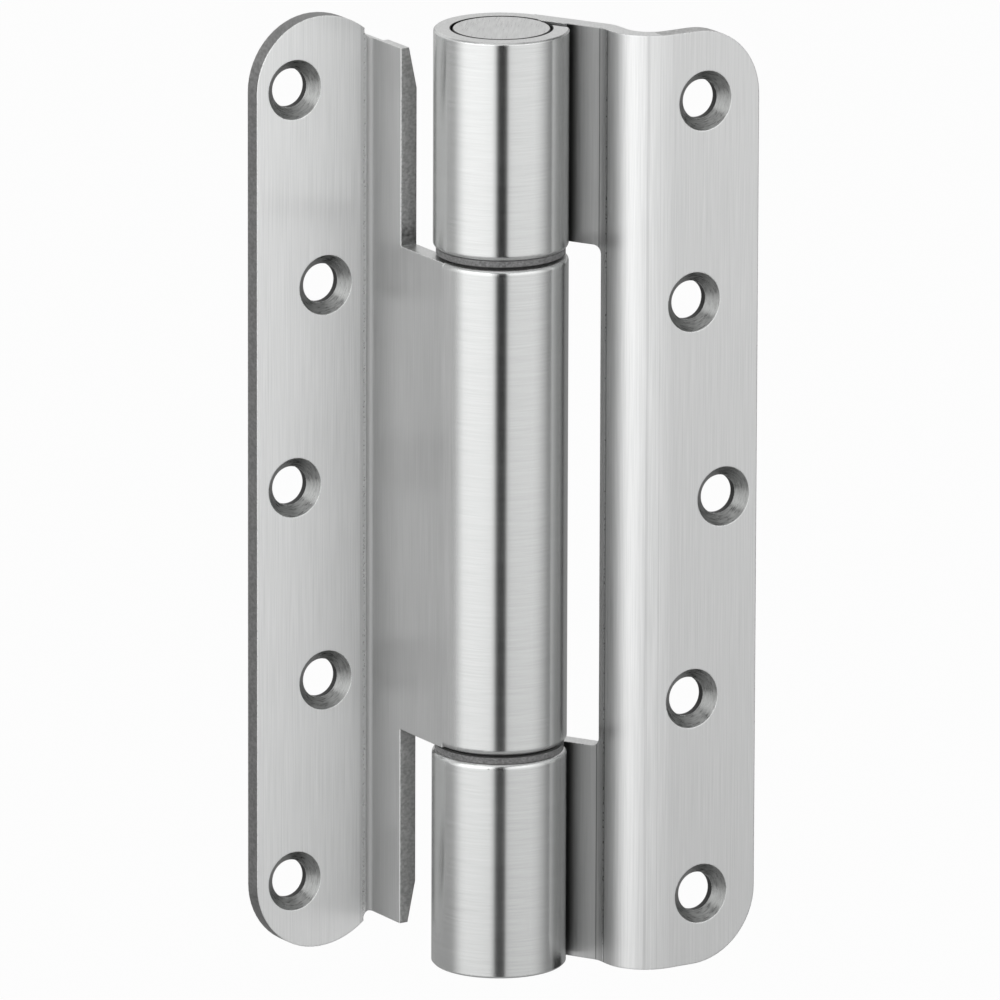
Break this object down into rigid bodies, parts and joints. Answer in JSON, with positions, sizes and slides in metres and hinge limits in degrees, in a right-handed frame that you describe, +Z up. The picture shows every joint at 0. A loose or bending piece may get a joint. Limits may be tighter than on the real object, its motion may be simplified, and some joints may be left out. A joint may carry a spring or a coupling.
{
  "type": "door hinge",
  "caption": "Heavy screw-on door hinge of bent stainless sheet, with rolled knuckles on a fixed pin in flanged bearing bushes, opening to a half turn.",
  "frame": {"origin": "on the back face of the frame leaf, midway between its two outer screw holes", "axes": "+Z up along the pin, +Y out of the back of the frame leaf, +X from the pin towards the frame leaf's free edge"},
  "size_m": [0.0718, 0.0445, 0.16],
  "materials": {
    "brushed_stainless": "satin brushed stainless sheet",
    "pin_steel": "ground steel",
    "bearing_polymer": "grey low-friction bearing polymer",
    "washer_steel": "bright turned washer",
    "plug_steel": "ground stainless disc"
  },
  "bodies": {
    "frame_side": {"frame_leaf": "brushed_stainless", "upper_bearing_bush": "bearing_polymer", "lower_bearing_bush": "bearing_polymer", "upper_end_plug": "plug_steel", "lower_end_plug": "plug_steel"},
    "door_side": {"door_leaf": "brushed_stainless", "hinge_pin": "pin_steel", "pin_sleeve": "pin_steel", "upper_thrust_washer": "washer_steel", "lower_thrust_washer": "washer_steel"}
  },
  "joints": [
    {"name": "hinge_swing", "type": "hinge", "parent": "frame_side", "child": "door_side", "pos_m": [-0.028, 0.01575, 0], "axis": [0, 0, 1], "range_deg": [0, 180]}
  ]
}
